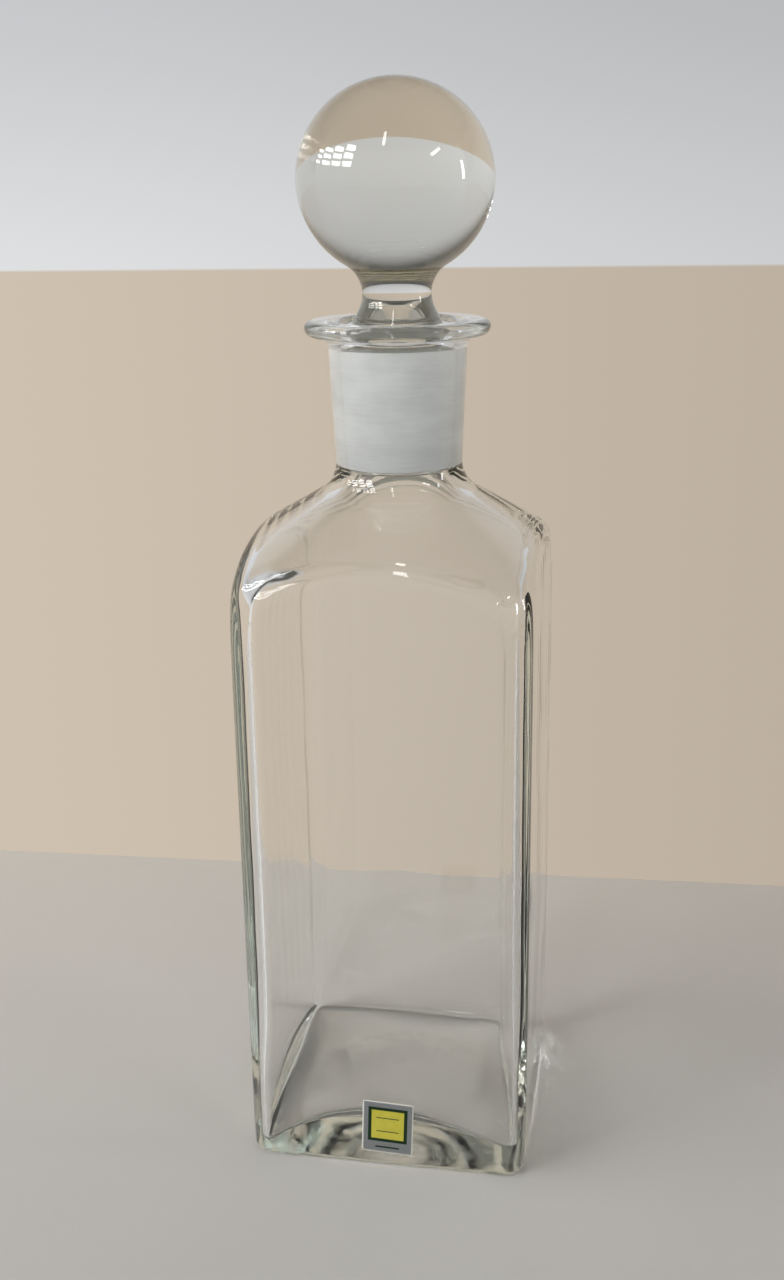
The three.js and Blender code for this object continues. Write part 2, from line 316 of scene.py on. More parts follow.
def arc(centre_radius, centre_height, radius, start, end, steps):
    """Points [radius, height] on a circle's arc, the angle running evenly from start to end."""
    turn = np.linspace(start, end, steps + 1)
    return np.stack(
        [centre_radius + radius * np.cos(turn), centre_height + radius * np.sin(turn)], axis=-1
    )


def line(start, end, steps):
    """Points [radius, height] evenly along a straight line, both ends included."""
    return np.linspace(start, end, steps + 1)


def chain(*runs):
    """Runs of points joined into one profile, with the repeated first point of each left out."""
    return np.concatenate([runs[0], *[run[1:] for run in runs[1:]]])


def round_rings(profile, angles):
    """A profile carried round the axis: the same reach and height at every angle."""
    return profile[:, :1] + 0 * angles, profile[:, 1:] + 0 * angles


def ring_points(sections, angles):
    """Points of all rings: reach times the angle's cosine and sine, and the height."""
    reach = np.concatenate([np.broadcast_to(r, (r.shape[0], angles.size)) for r, _ in sections])
    height = np.concatenate([np.broadcast_to(h, (h.shape[0], angles.size)) for _, h in sections])
    return np.stack([reach * np.cos(angles), reach * np.sin(angles), height], axis=-1)


def closed_mesh(name, rings, first_pole, last_pole):
    """A closed skin from a grid of points: four-sided faces between neighbouring rings, and a fan
    of triangles from each pole to the ring next to it."""
    rows, columns = rings.shape[:2]
    points = np.concatenate([rings.reshape(-1, 3), [first_pole, last_pole]])
    this = np.arange(columns)
    following = np.roll(this, -1)
    low = np.arange(rows - 1)[:, None] * columns
    high = low + columns
    quads = np.stack([low + this, low + following, high + following, high + this], axis=-1)
    top = (rows - 1) * columns
    first_fan = np.stack([np.full(columns, points.shape[0] - 2), following, this], axis=-1)
    last_fan = np.stack([top + this, top + following, np.full(columns, points.shape[0] - 1)], axis=-1)
    faces = quads.reshape(-1, 4).tolist() + first_fan.tolist() + last_fan.tolist()
    mesh = bpy.data.meshes.new(name)
    mesh.from_pydata(points.tolist(), [], faces)
    mesh.shade_smooth()
    mesh.validate()
    return mesh


def add_piece(mesh, *materials):
    """The object that shows a mesh, at the origin, with its materials."""
    piece = bpy.data.objects.new(mesh.name, mesh)
    for material in materials:
        mesh.materials.append(material)
    bpy.context.scene.collection.objects.link(piece)
    return piece


def grind(mesh, outline):
    """Gives the second material to the faces of the joint: those whose middle lies between the
    plug's edges in height and no further out than the bore."""
    middles = np.empty(len(mesh.polygons) * 3, np.float32)
    mesh.polygons.foreach_get("center", middles)
    x, y, z = middles.reshape(-1, 3).T
    low, high = outline.ground_low, outline.ground_high
    near = np.hypot(x, y) < outline.neck.bore + outline.neck.clearance
    upright = np.empty(len(mesh.polygons) * 3, np.float32)
    mesh.polygons.foreach_get("normal", upright)
    on_side = np.abs(upright.reshape(-1, 3)[:, 2]) < 0.5
    ground = near & on_side & (z > low) & (z < high)
    mesh.polygons.foreach_set("material_index", ground.astype(np.int32))


def bottle_angles():
    """Angles of the bottle's columns: wide steps on the flats, closer where the inner corners
    turn, and closest in the outer corners; one eighth of the turn, mirrored and repeated."""
    inner_corner, outer_corner = 28, 39.7
    spans = ((0, inner_corner, 10), (inner_corner, outer_corner, 11), (outer_corner, 45, 13))
    eighth = np.concatenate([np.linspace(a, b, steps, endpoint=False) for a, b, steps in spans])
    quarter = np.concatenate([eighth, [45], 90 - eighth[:0:-1]])
    return np.radians(np.concatenate([quarter + 90 * side for side in range(4)]))


def uneven(angles, height, amount):
    """How far glass wanders from true: broad waves up the height and round the axis, and narrow
    upright flutes, summed and scaled so that they stay between nothing and the amount."""
    wave, swing, tall_bend, narrow_bend = WAVE_SPREADS
    bent = height / wave + 1.3 * np.sin(3 * angles + 0.7)
    broad = np.sin(bent) * np.cos(2 * angles + height / swing)
    tall = np.sin(FLUTE_COUNTS[0] * angles + 0.9 * np.sin(height / tall_bend)) * FLUTE_SHARES[0]
    narrow = np.sin(FLUTE_COUNTS[1] * angles + 1.7 * np.sin(height / narrow_bend)) * FLUTE_SHARES[1]
    return amount * (0.5 + WAVE_SCALE * (broad + tall + narrow))


class Outline:
    """The worked-out places on the shoulder, the neck and the joint."""

    def __init__(self, scene):
        self.body = scene.decanter_body
        self.shoulder = scene.decanter_shoulder
        self.neck = scene.decanter_neck
        body, shoulder, neck = self.body, self.shoulder, self.neck
        self.half = body.width / 2
        self.corner_reach = float(square_reach(self.half, body.corner, math.pi / 4))
        self.knee_radius = self.corner_reach + shoulder.knee_overhang - shoulder.knee
        knee_top_radius = self.knee_radius + shoulder.knee * math.sin(shoulder.slope)
        knee_drop = (knee_top_radius - neck.foot_radius) * math.tan(shoulder.slope)
        self.knee_height = shoulder.neck_foot - knee_drop - shoulder.knee * math.cos(shoulder.slope)
        self.lip_middle = shoulder.neck_foot + neck.length
        self.lip_top = self.lip_middle + neck.lip_thickness / 2
        self.plug_top = self.lip_top - neck.plug_below_lip
        self.plug_end = self.plug_top - neck.plug_length
        self.ground_low = self.plug_end + GROUND_EDGE
        self.ground_high = self.plug_top - GROUND_EDGE

    def inner_corner_at(self, height):
        """Corner radius of the cavity: tight at the floor, wider up the sides, and widest in the
        shoulder, where the corners hold the most glass."""
        body = self.body
        low = (body.thick_corner - body.inner_corner) * smooth_step(height, *CORNER_SWELLS)
        high = (body.shoulder_corner - body.thick_corner) * smooth_step(height, *SHOULDER_SWELLS)
        return body.inner_corner + low + high

    def floor_at(self, reach, angles):
        """Height of the cavity's floor: a bowl that rises from its middle to the middle of each
        side, by the square of the distance, more steeply to the front by its cube, and that falls
        along each wall to the corners by the square of the way; then a lean along the front wall."""
        body = self.body
        half = self.half - body.wall
        across = reach * np.cos(angles) / half
        along = reach * np.sin(angles) / half
        to_front = body.front_floor - body.middle_floor
        to_back = body.back_floor - body.middle_floor
        rise_along = (to_front + to_back) / 2 * along**2 - (to_front - to_back) / 2 * along**3
        rise_across = (body.side_floor - body.middle_floor) * across**2
        bowl = body.middle_floor + rise_along * (1 - across**2) + rise_across * (1 - along**2)
        lean = body.floor_lean * across * (1 - along) / 2
        corners = (body.corner_floor - body.middle_floor + lean) * across**2 * along**2
        return np.maximum(bowl + corners, body.thinnest_floor)

    def bore_at(self, height):
        """Radius of the tapered bore: a straight line through the plug's top edge."""
        return self.neck.bore + (height - self.plug_top) * self.neck.taper

    def cone_height(self, inset, radius):
        """Height at this radius of the shoulder's cone, moved into the glass by the inset."""
        shoulder = self.shoulder
        drop = (radius - self.neck.foot_radius) * math.tan(shoulder.slope)
        return shoulder.neck_foot - drop - inset / math.cos(shoulder.slope)

    def dome(self, inset, knee_inset, end_radius):
        """The dome's profile from its skirt up: a straight skirt, the knee's arc and the cone,
        which ends at a given radius. The insets move the cone's end and the rest into the glass."""
        shoulder = self.shoulder
        knee = arc(
            self.knee_radius,
            self.knee_height,
            shoulder.knee - knee_inset,
            math.pi / 2 - shoulder.skirt_slope,
            math.pi / 2 - shoulder.slope,
            26,
        )
        skirt_run = self.corner_reach + shoulder.skirt_reach - knee_inset - knee[0][0]
        skirt_foot = knee[0] + [skirt_run, -skirt_run * math.tan(shoulder.skirt_slope)]
        cone_end = [end_radius, self.cone_height(inset, end_radius)]
        return chain(line(skirt_foot, knee[0], 12), knee, line(knee[-1], cone_end, 24))

    def trimmed(self, profile, half, corner, angles):
        """Rings of the dome trimmed by a rounded square: the soft minimum of both reaches."""
        reach = soft_minimum(
            square_reach(half, corner, angles), profile[:, :1], self.shoulder.sharpness
        )
        return reach, profile[:, 1:] + 0 * angles

    def fillet(self, radius, height, rounding, steps):
        """The arc that joins the shoulder's cone to a neck of this radius at this height."""
        rise = rounding * math.tan((math.pi / 2 - self.shoulder.slope) / 2)
        return arc(
            radius + rounding, height + rise, rounding, 1.5 * math.pi - self.shoulder.slope, math.pi, steps
        )


def outer_sections(outline, angles):
    """Rings of the outside: a parabola under the base, the heel's quarter arc, straight sides,
    the trimmed dome, the neck and the lip's half circle."""
    body, shoulder, neck = outline.body, outline.shoulder, outline.neck
    out = np.linspace(0.12, 1, 8)
    hollow = np.stack([body.hollow_radius * out, body.hollow_depth * (1 - out**2)], axis=-1)
    turn = np.linspace(0, math.pi / 2, 9)[:, None]
    inset = body.heel * (1 - np.sin(turn))
    heel_reach = square_reach(outline.half - inset, np.maximum(body.corner - inset, 0), angles)
    heel_height = body.heel * (1 - np.cos(turn)) + 0 * angles
    fillet = outline.fillet(neck.foot_radius, shoulder.neck_foot, shoulder.neck_fillet, 14)
    dome = outline.dome(0, 0, fillet[0][0])
    heights = np.linspace(body.heel, dome[0][1], 26)[1:-1, None]
    side_reach = square_reach(outline.half, body.corner, angles)
    side_reach = soft_minimum(side_reach, outline.corner_reach + shoulder.skirt_reach, shoulder.sharpness)
    sides = (side_reach + 0 * heights, heights + 0 * angles)
    edge = neck.lip_thickness / 2
    under = outline.lip_middle - edge - neck.lip_fillet
    slope = (neck.top_radius - neck.foot_radius) / neck.length
    radius_under = neck.foot_radius + slope * (under - shoulder.neck_foot)
    below_lip = arc(radius_under + neck.lip_fillet, under, neck.lip_fillet, math.pi, math.pi / 2, 10)
    lip = arc(neck.lip_radius - edge, outline.lip_middle, edge, -math.pi / 2, math.pi / 2, 22)
    neck_profile = chain(fillet, line(fillet[-1], below_lip[0], 4), below_lip)
    return [
        round_rings(hollow, angles),
        (heel_reach, heel_height),
        sides,
        outline.trimmed(dome[:-1], outline.half, body.corner, angles),
        round_rings(neck_profile, angles),
        round_rings(lip, angles),
    ]


def inner_sections(outline, angles):
    """Rings of the inside: the mouth's quarter arc, the tapered bore, the throat's arc, the
    trimmed dome one wall in, the sides, the cove and the bowl-shaped floor."""
    body, shoulder, neck = outline.body, outline.shoulder, outline.neck
    mouth_height = outline.lip_top - neck.mouth
    mouth_radius = outline.bore_at(mouth_height) + neck.mouth
    mouth = arc(mouth_radius, mouth_height, neck.mouth, math.pi / 2, math.pi, 10)
    slope = math.tan(shoulder.slope)
    cone_tip = outline.cone_height(body.wall, 0)
    rise = shoulder.throat_fillet * math.tan((math.pi / 2 - shoulder.slope) / 2)
    throat_radius = outline.bore_at(cone_tip + rise) / (1 + slope * neck.taper)
    throat = outline.fillet(throat_radius, cone_tip - throat_radius * slope, shoulder.throat_fillet, 14)
    dome = outline.dome(body.wall, body.shoulder_wall, throat[0][0])
    half = outline.half - body.wall
    cove = body.corner_cove + (body.side_cove - body.corner_cove) * np.cos(2 * angles) ** 2
    rim_floor = outline.floor_at(square_reach(half, body.inner_corner, angles), angles)
    rim = rim_floor + cove
    down = np.linspace(0, 1, 36)[1:-1, None]
    side_height = dome[0][1] + (rim - dome[0][1]) * down
    side_reach = square_reach(half, outline.inner_corner_at(side_height), angles)
    turn = np.linspace(0, math.pi / 2, 14)[:, None]
    inset = cove * (1 - np.cos(turn))
    cove_corner = np.maximum(outline.inner_corner_at(rim) - inset, 0)
    cove_reach = square_reach(half - inset, cove_corner, angles)
    cove_height = outline.floor_at(cove_reach, angles) + cove * (1 - np.sin(turn))
    floor_reach = cove_reach[-1:] * np.linspace(1, 0.04, 26)[1:, None]
    floor_height = outline.floor_at(floor_reach, angles)
    sections = [
        outline.trimmed(dome[::-1], half, outline.inner_corner_at(dome[::-1, 1:]), angles),
        (side_reach, side_height),
        (cove_reach, cove_height),
        (floor_reach, floor_height),
    ]
    ground_top = [outline.bore_at(outline.ground_high), outline.ground_high]
    ground_end = [outline.bore_at(outline.ground_low), outline.ground_low]
    upper = chain(line(mouth[-1], ground_top, 3), line(ground_top, ground_end, 10))
    bore = chain(mouth, upper, line(ground_end, throat[-1], 3), throat[::-1])
    return [round_rings(bore[:-1], angles), *[waved(section, outline, angles) for section in sections]]


def waved(section, outline, angles):
    """Rings moved into the glass by its unevenness, which fades out towards the throat, where the
    reach is small, and towards the floor."""
    reach, height = section
    fade = smooth_step(reach, 0.022, 0.034) * smooth_step(height, 0.012, 0.05)
    return reach - fade * uneven(angles, height, outline.body.unevenness), height


def bottle_mesh(outline):
    """The bottle as one closed skin, from the middle of its base out, up, over the lip and down
    into the cavity."""
    angles = bottle_angles()
    body = outline.body
    sections = outer_sections(outline, angles) + inner_sections(outline, angles)
    rings = ring_points(sections, angles)
    return closed_mesh("decanter_bottle", rings, [0, 0, body.hollow_depth], [0, 0, body.middle_floor])


def stopper_mesh(outline, sizes):
    """The stopper as one closed skin: the plug's flat end, its tapered side, the cone, the
    waist's arc and the slightly flattened ball, all turned about the axis."""
    clearance = outline.neck.clearance
    end = outline.plug_end
    end_radius = outline.bore_at(end) - clearance - sizes.end_rounding
    foot = arc(end_radius, end + sizes.end_rounding, sizes.end_rounding, -math.pi / 2, 0, 6)
    top_height = outline.plug_top - sizes.top_rounding
    top_radius = outline.bore_at(top_height) - clearance - sizes.top_rounding
    top = arc(top_radius, top_height, sizes.top_rounding, 0, math.pi / 2 - sizes.cone, 8)
    waist_centre = sizes.waist + sizes.fillet
    cone_top = waist_centre - sizes.fillet * math.cos(sizes.cone)
    cone_rise = (top[-1][0] - cone_top) / math.tan(sizes.cone)
    waist_height = top[-1][1] + cone_rise + sizes.fillet * math.sin(sizes.cone)
    lower = arc(waist_centre, waist_height, sizes.fillet, math.pi + sizes.cone, math.pi, 12)
    ball_height = math.sqrt((sizes.ball + sizes.fillet) ** 2 - waist_centre**2)
    meeting = math.atan2(ball_height, waist_centre)
    upper = arc(waist_centre, 0, sizes.fillet, math.pi, math.pi - meeting, 14)
    ball = arc(0, ball_height, sizes.ball, -meeting, math.pi / 2, 70)
    rounded = chain(upper, ball)
    rounded[:, 1] = waist_height + rounded[:, 1] * sizes.flattening
    flat_end = line([foot[0][0] / 6, end], foot[0], 5)
    side = line(foot[-1], top[0], 12)
    cone = line(top[-1], lower[0], 8)
    profile = chain(flat_end, foot, side, top, cone, lower, rounded)
    angles = np.linspace(0, 2 * math.pi, 224, endpoint=False)
    rings = ring_points([round_rings(profile[:-1], angles)], angles)
    return closed_mesh("decanter_stopper", rings, [0, 0, end], [0, 0, rounded[-1][1]])


def label_mesh(sizes):
    """The sticker as a thin closed sheet: rounded rectangles growing over its back, stepping to
    the front and shrinking to the middle again, tilted about the line of sight."""
    angles = np.linspace(0, 2 * math.pi, 160, endpoint=False)
    outline = square_reach(1, sizes.corner, angles)
    grow = np.linspace(0.1, 1, 10)
    back, front = LABEL_HIGH.y, LABEL_LOW.y
    edge_bevel = (back - front) * 0.3
    scale = np.concatenate([grow, [1], grow[::-1]])[:, None]
    depth = np.concatenate([np.full(10, back), [front + edge_bevel], np.full(10, front)])[:, None]
    scale[11] = 1 - edge_bevel / (sizes.width / 2)
    across = outline * scale * np.cos(angles) * sizes.width / 2
    upward = outline * scale * np.sin(angles) * sizes.height / 2
    flat = np.stack([across, depth + 0 * angles, upward], axis=-1)[:, ::-1]
    mesh = closed_mesh("decanter_label", flat, [0, back, 0], [0, front, 0])
    places = np.empty(len(mesh.loops), np.int32)
    mesh.loops.foreach_get("vertex_index", places)
    points = np.empty(len(mesh.vertices) * 3, np.float32)
    mesh.vertices.foreach_get("co", points)
    points = points.reshape(-1, 3)
    print_map = points[:, [0, 2]] / [sizes.width, sizes.height] + 0.5
    mesh.uv_layers.new(name="print").uv.foreach_set("vector", print_map[places].astype(np.float32).ravel())
    cosine, sine = math.cos(sizes.tilt), math.sin(sizes.tilt)
    tilted = points.copy()
    tilted[:, 0] = points[:, 0] * cosine + points[:, 2] * sine + sizes.centre_x
    tilted[:, 2] = points[:, 2] * cosine - points[:, 0] * sine + sizes.centre_z
    mesh.vertices.foreach_set("co", tilted.ravel())
    mesh.update()
    return mesh


def slab_mesh(name, corners):
    """A flat four-sided sheet through four corners."""
    mesh = bpy.data.meshes.new(name)
    mesh.from_pydata(corners, [], [(0, 1, 2, 3)])
    return mesh


# Finishes


class Wire:
    """An output of a node that takes part in sums, so that each operator adds one Math node."""

    def __init__(self, finish, node, output=0):
        self.finish = finish
        self.node = node
        self.output = output

    def pick(self, output):
        """Another output of the same node."""
        return Wire(self.finish, self.node, output)

    def math(self, operation, first, second):
        """A Math node on two values."""
        return self.finish.add("ShaderNodeMath", {"operation": operation}, {0: first, 1: second})

    def __add__(self, other):
        return self.math("ADD", self, other)

    __radd__ = __add__

    def __mul__(self, other):
        return self.math("MULTIPLY", self, other)

    __rmul__ = __mul__

    def __sub__(self, other):
        return self.math("SUBTRACT", self, other)

    def __rsub__(self, other):
        return self.math("SUBTRACT", other, self)


class Finish:
    """A tree of shader nodes, which grows by one method."""

    def __init__(self, owner):
        owner.use_nodes = True
        self.owner = owner
        self.tree = owner.node_tree
        self.tree.nodes.clear()

    def add(self, kind, settings=None, inputs=None):
        """A node of this kind: its settings first, then the values or links of its sockets."""
        node = self.tree.nodes.new(kind)
        for name, value in (settings or {}).items():
            setattr(node, name, value)
        for name, value in (inputs or {}).items():
            if isinstance(value, Wire):
                self.tree.links.new(value.node.outputs[value.output], node.inputs[name])
            else:
                node.inputs[name].default_value = value
        return Wire(self, node)

    def blend(self, factor, first, second):
        """A mix of two colours."""
        return self.add(
            "ShaderNodeMix", {"data_type": "RGBA"}, {"Factor": factor, 6: first, 7: second}
        ).pick(2)

    def smooth(self, value, start, end):
        """A soft step from 0 at the start to 1 at the end."""
        return self.add(
            "ShaderNodeMapRange",
            {"interpolation_type": "SMOOTHSTEP"},
            {"Value": value, "From Min": start, "From Max": end},
        )

    def noise(self, place, scale, detail=3.0, stretch=(1, 1, 1)):
        """Cloudy noise from 0 to 1, its grain stretched along the axes."""
        mapped = self.add("ShaderNodeMapping", None, {"Vector": place, "Scale": stretch})
        return self.add("ShaderNodeTexNoise", None, {"Vector": mapped, "Scale": scale, "Detail": detail})


def opaque(colour_value, tone=1.0):
    """A colour property, darker or lighter by a tone, as the four numbers that a socket takes."""
    return (*[min(part * tone, 1) for part in colour_value], 1.0)


def finish_glass(finish, settings, tint, density):
    """Ends a glass finish: the shader, and the tint that grows with the light's path in the glass."""
    shader = finish.add("ShaderNodeBsdfPrincipled", None, {"IOR": GLASS_INDEX, **settings})
    depth = finish.add("ShaderNodeVolumeAbsorption", None, {"Color": opaque(tint), "Density": density})
    finish.add("ShaderNodeOutputMaterial", None, {"Surface": shader, "Volume": depth})
    return finish.owner


def clear_glass(name, tint, density):
    """Clear glass with hardly any haze, a faint wander in its surface, ripples in its base and an
    underside scuffed by use."""
    finish = Finish(bpy.data.materials.new(name))
    place = finish.add("ShaderNodeTexCoord").pick("Object")
    haze = finish.smooth(finish.noise(place, scale=55), 0.45, 0.8)
    height = finish.add("ShaderNodeSeparateXYZ", None, {0: place}).pick(2)
    low = 1 - finish.smooth(height, *RIPPLES_END)
    ripples = finish.noise(place, scale=330, detail=2, stretch=(1, 0.45, 1.3)) * low * RIPPLE_DEPTH
    wander = finish.noise(place, scale=26, detail=1, stretch=(1, 1, 0.35)) * WANDER_DEPTH
    relief = wander + finish.noise(place, scale=110, detail=1) * GRAIN_DEPTH + ripples
    bump = finish.add("ShaderNodeBump", None, {"Strength": 1.0, "Distance": MILLIMETRE, "Height": relief})
    underside = 1 - finish.smooth(height, *SCUFFS_END)
    worn = finish.smooth(finish.noise(place, scale=300, detail=4), 0.3, 0.7)
    scuffs = (SCUFF_ROUGHNESS[0] + SCUFF_ROUGHNESS[1] * worn) * underside
    settings = {
        "Base Color": (1, 1, 1, 1),
        "Transmission Weight": 1.0,
        "Roughness": HAZE_ROUGHNESS[0] + HAZE_ROUGHNESS[1] * haze + scuffs,
        "Normal": bump,
    }
    return finish_glass(finish, settings, tint, density)


def ground_glass(name, tint, density, look):
    """The ground faces of the joint: white, rough, and marked with rings by the grinding."""
    finish = Finish(bpy.data.materials.new(name))
    place = finish.add("ShaderNodeTexCoord").pick("Object")
    rings = finish.smooth(finish.noise(place, scale=260, detail=6, stretch=(0.3, 0.3, 9)), 0.25, 0.75)
    patches = finish.smooth(finish.noise(place, scale=90, detail=5, stretch=(1, 1, 1.6)), 0.25, 0.75)
    marks = rings * RING_SHARE + patches * (1 - RING_SHARE)
    relief = rings * RING_DEPTH + patches * PATCH_DEPTH
    bump = finish.add("ShaderNodeBump", None, {"Strength": 1.0, "Distance": MILLIMETRE, "Height": relief})
    settings = {
        "Base Color": finish.blend(marks, opaque(look.ground, DIMMER_GROUND), opaque(look.ground)),
        "Transmission Weight": look.ground_clearness,
        "Roughness": look.ground_roughness - GROUND_SPREAD + 2 * GROUND_SPREAD * patches,
        "Normal": bump,
    }
    return finish_glass(finish, settings, tint, density)


def label_material(look, sizes):
    """Foil with a pale cut edge, a plain printed panel in a ruled frame, and a plain bar below."""
    finish = Finish(bpy.data.materials.new("label_foil_print"))
    place = finish.add("ShaderNodeUVMap", {"uv_map": "print"})
    apart = finish.add("ShaderNodeSeparateXYZ", None, {0: place})
    across = (apart - 0.5) * (sizes.width / MILLIMETRE)
    upward = (apart.pick(1) - 0.5) * (sizes.height / MILLIMETRE)

    def panel(centre, half_width, half_height, blur=0.05):
        """1 within a plain rectangle and 0 outside, in millimetres from the sticker's middle."""
        aside = across.math("ABSOLUTE", across, 0.0)
        above = across.math("ABSOLUTE", upward - centre, 0.0)
        in_width = 1 - finish.smooth(aside, half_width - blur, half_width + blur)
        in_height = 1 - finish.smooth(above, half_height - blur, half_height + blur)
        return in_width * in_height

    coords = finish.add("ShaderNodeTexCoord").pick("Object")
    grain = finish.noise(coords, scale=2600)
    worn = finish.noise(coords, scale=420, detail=4)
    half_width, half_height = sizes.width / MILLIMETRE / 2, sizes.height / MILLIMETRE / 2
    rim = 1 - panel(0, half_width - LABEL_RIM, half_height - LABEL_RIM)
    frame_area = panel(*LABEL_FRAME)
    panel_area = panel(*LABEL_PANEL)
    bars = sum(panel(*bar) for bar in LABEL_BARS)
    foil = finish.blend(grain, opaque(look.foil, 0.75), opaque(look.foil, 1.25))
    ink = finish.blend(worn, opaque(look.panel, 0.85), opaque(look.panel, 1.12))
    with_frame = finish.blend(frame_area, foil, opaque(look.frame))
    with_panel = finish.blend(panel_area, with_frame, ink)
    with_bars = finish.blend(bars, with_panel, opaque(look.frame))
    base = finish.blend(rim, with_bars, opaque(LABEL_CUT))
    printed = panel_area + rim
    creases = grain * 0.012 + worn * 0.03
    shader = finish.add(
        "ShaderNodeBsdfPrincipled",
        None,
        {
            "Base Color": base,
            "Metallic": 0.75 - 0.6 * printed,
            "Roughness": 0.3 + 0.15 * worn + 0.12 * printed,
            "Normal": finish.add(
                "ShaderNodeBump", None, {"Strength": 0.6, "Distance": MILLIMETRE, "Height": creases}
            ),
        },
    )
    finish.add("ShaderNodeOutputMaterial", None, {"Surface": shader})
    return finish.owner


def floor_material(look):
    """A smooth pale floor with a slight sheen and a very faint mottle."""
    finish = Finish(bpy.data.materials.new("plain_floor"))
    place = finish.add("ShaderNodeTexCoord").pick("Object")
    mottle = finish.noise(place, scale=9, detail=4)
    base = finish.blend(mottle, opaque(look.floor, 0.97), opaque(look.floor))
    shader = finish.add(
        "ShaderNodeBsdfPrincipled", None, {"Base Color": base, "Roughness": 0.34 + 0.05 * mottle}
    )
    finish.add("ShaderNodeOutputMaterial", None, {"Surface": shader})
    return finish.owner


def backdrop_material(look):
    """Two plain pale colours, one above the other, with painted light that makes the backdrop a little
    brighter on the left and the upper colour dimmer as it rises, and a painted shade that turns it
    near-black above the picture; nothing shows from behind."""
    finish = Finish(bpy.data.materials.new("plain_backdrop"))
    place = finish.add("ShaderNodeTexCoord").pick("Object")
    sideways = finish.add("ShaderNodeSeparateXYZ", None, {0: place})
    height = sideways.pick(2)
    split = look.backdrop_split
    upper = finish.smooth(height, split - BACKDROP_BLUR, split + BACKDROP_BLUR)
    # painted light: the upper colour dims as it rises
    rise = finish.smooth(height, split - DIM_MARGIN, look.fade_start + DIM_MARGIN)
    wall = finish.blend(rise, opaque(look.backdrop_high), opaque(look.backdrop_painted_dim))
    plain = finish.blend(upper, opaque(look.backdrop_low), wall)
    # painted shade: the backdrop darkens to near-black above the picture
    shade_mask = finish.smooth(height, look.fade_start, look.fade_end)
    paint = finish.blend(shade_mask, plain, opaque(look.backdrop_painted_shade))
    # painted light: brighter on the left, darker on the right
    aside = finish.smooth(sideways, *PAINTED_LIGHT_ENDS)
    near, far = 1 + look.painted_side_light, 1 - look.painted_side_light
    shade = finish.blend(aside, (near, near, near, 1), (far, far, far, 1))
    paint = finish.add(
        "ShaderNodeMix", {"data_type": "RGBA", "blend_type": "MULTIPLY"}, {"Factor": 1.0, 6: paint, 7: shade}
    ).pick(2)
    glow = finish.add("ShaderNodeEmission", None, {"Color": paint})
    nothing = finish.add("ShaderNodeBsdfTransparent")
    behind = finish.add("ShaderNodeNewGeometry").pick("Backfacing")
    shader = finish.add("ShaderNodeMixShader", None, {0: behind, 1: glow, 2: nothing})
    finish.add("ShaderNodeOutputMaterial", None, {"Surface": shader})
    return finish.owner


# Stage


def make_world(look):
    """The room: pale at eye level and dimmer overhead, plain in every direction round."""
    world = bpy.data.worlds.new("studio")
    bpy.context.scene.world = world
    finish = Finish(world)
    direction = finish.add("ShaderNodeTexCoord").pick("Generated")
    height = finish.add("ShaderNodeSeparateXYZ", None, {0: direction}).pick(2)
    overhead = finish.smooth(height, *OVERHEAD)
    paint = finish.blend(overhead, opaque(look.room), opaque(look.ceiling))
    sky = finish.add("ShaderNodeBackground", None, {"Color": paint})
    finish.add("ShaderNodeOutputWorld", None, {"Surface": sky})


def area_lamp(name, azimuth, elevation, width, height, brightness, twist=0):
    """A flat lamp at these angles in degrees from the front, facing the stopper. Its power makes
    the face show this brightness: radiance times pi times the face's area."""
    data = bpy.data.lights.new(name, "AREA")
    data.shape = "RECTANGLE"
    data.size = width
    data.size_y = height
    data.energy = brightness * math.pi * width * height
    lamp = bpy.data.objects.new(name, data)
    bpy.context.scene.collection.objects.link(lamp)
    aside, up = math.radians(azimuth), math.radians(elevation)
    flat = LAMP_DISTANCE * math.cos(up)
    rise = LAMP_DISTANCE * math.sin(up) + AIM_HEIGHT
    lamp.location = (flat * math.sin(aside), -flat * math.cos(aside), rise)
    lamp.rotation_euler = (math.pi / 2 - up, math.radians(twist), aside)
    lamp.visible_camera = False


def make_lamps(look):
    """A soft box with panes to the left, two narrow strips and a slim box to the right."""
    for column in range(PANE_COLUMNS):
        azimuth = WINDOW_START + PANE_TURN * column
        pitch = PANE_PITCH - PITCH_LOSS * column
        pane = LAMP_DISTANCE * math.radians(pitch - BAR_WIDTH)
        for row in range(PANE_ROWS):
            elevation = WINDOW_SILL + pitch * (row + 0.5)
            area_lamp(f"pane_{row}_{column}", azimuth, elevation, PANE_WIDTH, pane, look.window)
    for name, azimuth, elevation, width, height, twist in STRIP_LAMPS:
        area_lamp(name, azimuth, elevation, width, height, look.strips, twist)


def make_camera(look):
    """The camera at the photograph's place and angle."""
    data = bpy.data.cameras.new("camera")
    data.lens = look.lens
    data.sensor_width = 36
    camera = bpy.data.objects.new("camera", data)
    bpy.context.scene.collection.objects.link(camera)
    camera.location = (look.camera_x, look.camera_y, look.camera_z)
    camera.rotation_euler = (look.camera_tip, look.camera_roll, look.camera_turn)
    bpy.context.scene.camera = camera


# Operators


class BuildBottle(bpy.types.Operator):
    """Build the bottle's glass from the body, shoulder and neck sizes"""

    bl_idname = "decanter.build_bottle"
    bl_label = "Bottle"

    def execute(self, context):
        scene = context.scene
        outline = Outline(scene)
        look = scene.decanter_finish
        clear = clear_glass("bottle_clear", look.bottle_depth, look.bottle_density)
        ground = ground_glass("bottle_ground", look.bottle_depth, look.bottle_density, look)
        mesh = bottle_mesh(outline)
        grind(mesh, outline)
        bottle = add_piece(mesh, clear, ground)
        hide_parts("bottle")
        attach(bottle, "vessel")
        return {"FINISHED"}


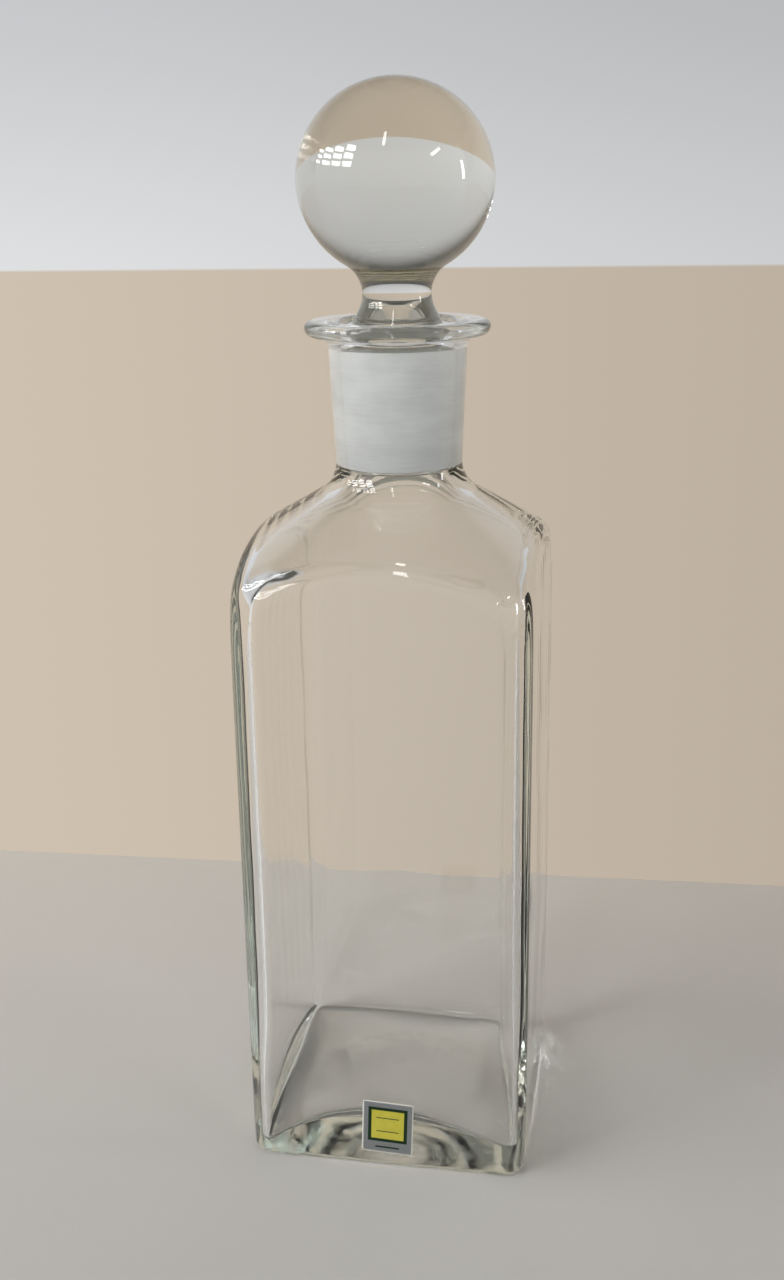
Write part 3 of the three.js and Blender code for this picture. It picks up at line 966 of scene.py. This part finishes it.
class BuildStopper(bpy.types.Operator):
    """Build the stopper's glass from the neck and stopper sizes"""

    bl_idname = "decanter.build_stopper"
    bl_label = "Stopper"

    def execute(self, context):
        scene = context.scene
        outline = Outline(scene)
        look = scene.decanter_finish
        clear = clear_glass("stopper_clear", look.stopper_depth, look.stopper_density)
        ground = ground_glass("stopper_ground", look.stopper_depth, look.stopper_density, look)
        mesh = stopper_mesh(outline, scene.decanter_stopper)
        grind(mesh, outline)
        stopper = add_piece(mesh, clear, ground)
        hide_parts("stopper")
        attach(stopper, "stopper")
        return {"FINISHED"}


class BuildLabel(bpy.types.Operator):
    """Build the foil sticker from the label sizes"""

    bl_idname = "decanter.build_label"
    bl_label = "Label"

    def execute(self, context):
        scene = context.scene
        sizes = scene.decanter_label
        label = add_piece(label_mesh(sizes), label_material(scene.decanter_finish, sizes))
        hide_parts("label")
        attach(label, "vessel")
        return {"FINISHED"}


class BuildStage(bpy.types.Operator):
    """Build the floor, the backdrop, the light and the camera"""

    bl_idname = "decanter.build_stage"
    bl_label = "Stage"

    def execute(self, context):
        scene = context.scene
        look = scene.decanter_stage
        far = look.backdrop_distance
        cosine, sine = math.cos(look.backdrop_turn), math.sin(look.backdrop_turn)

        def turned(x, y, z):
            """A point turned with the backdrop about the axis."""
            return (x * cosine - y * sine, x * sine + y * cosine, z)

        low = -FLOOR_GAP
        floor_corners = [
            turned(-FLOOR_REACH, -FLOOR_REACH, low),
            turned(FLOOR_REACH, -FLOOR_REACH, low),
            turned(FLOOR_REACH, far, low),
            turned(-FLOOR_REACH, far, low),
        ]
        backdrop_corners = [
            turned(-FLOOR_REACH, far, low),
            turned(FLOOR_REACH, far, low),
            turned(FLOOR_REACH, far, BACKDROP_HEIGHT),
            turned(-FLOOR_REACH, far, BACKDROP_HEIGHT),
        ]
        floor = add_piece(slab_mesh("floor", floor_corners), floor_material(look))
        backdrop = add_piece(slab_mesh("backdrop", backdrop_corners), backdrop_material(look))
        make_world(look)
        make_lamps(look)
        make_camera(look)
        scene.view_settings.view_transform = "Standard"
        scene.cycles.max_bounces = 32
        scene.cycles.transmission_bounces = 32
        scene.cycles.glossy_bounces = 16
        scene.cycles.diffuse_bounces = 12
        scene.cycles.blur_glossy = 0  # blurring would darken the ground glass inside the clear
        return {"FINISHED"}


class DecanterPanel(bpy.types.Panel):
    """Lists what the decanter is built from"""

    bl_idname = "VIEW3D_PT_decanter"
    bl_label = "Square Decanter"
    bl_space_type = "VIEW_3D"
    bl_region_type = "UI"
    bl_category = "Decanter"

    def draw(self, context):
        for operator in OPERATORS:
            self.layout.operator(operator.bl_idname)
        for group in GROUPS:
            settings = getattr(context.scene, group)
            box = self.layout.box()
            for name in settings.__annotations__:
                box.prop(settings, name)


OPERATORS = (BuildBottle, BuildStopper, BuildLabel, BuildStage)


def register():
    for kind in (*GROUPS.values(), *OPERATORS, DecanterPanel):
        bpy.utils.register_class(kind)
    for name, group in GROUPS.items():
        setattr(bpy.types.Scene, name, bpy.props.PointerProperty(type=group))


def unregister():
    for name in GROUPS:
        delattr(bpy.types.Scene, name)
    for kind in reversed((*GROUPS.values(), *OPERATORS, DecanterPanel)):
        bpy.utils.unregister_class(kind)


def main():
    """Builds everything."""
    register()
    bpy.ops.decanter.build_bottle()
    bpy.ops.decanter.build_stopper()
    bpy.ops.decanter.build_label()
    bpy.ops.decanter.build_stage()


if __name__ == "__main__":
    main()
